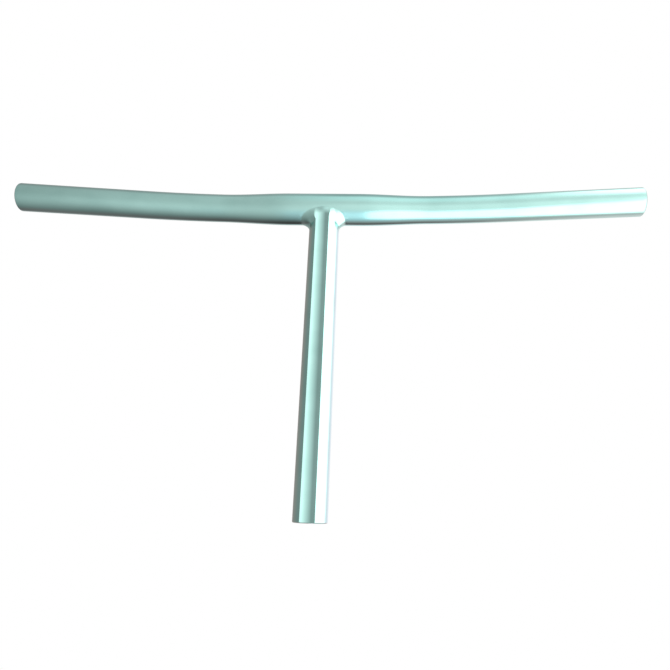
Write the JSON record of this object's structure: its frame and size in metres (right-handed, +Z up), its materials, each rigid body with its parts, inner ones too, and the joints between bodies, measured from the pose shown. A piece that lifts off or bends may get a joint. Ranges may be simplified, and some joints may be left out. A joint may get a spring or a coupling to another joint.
{
  "type": "t-bar handlebar",
  "caption": "One-piece bicycle handlebar: a swept cross bar, thicker in the middle, welded with a smooth fillet to a straight round stem tube.",
  "frame": {"origin": "on the stem's axis, in the plane of its open foot", "axes": "+Z up the stem to the cross bar, +X to the rider's right along the cross bar, +Y forward; the bar's ends sweep back towards -Y, the rider's side"},
  "size_m": [0.4928, 0.0385, 0.2527],
  "materials": {
    "tinted_alloy": "satin polished alloy with a pale mint tint"
  },
  "bodies": {
    "root": {"t_bar_handlebar": "tinted_alloy"}
  },
  "joints": []
}
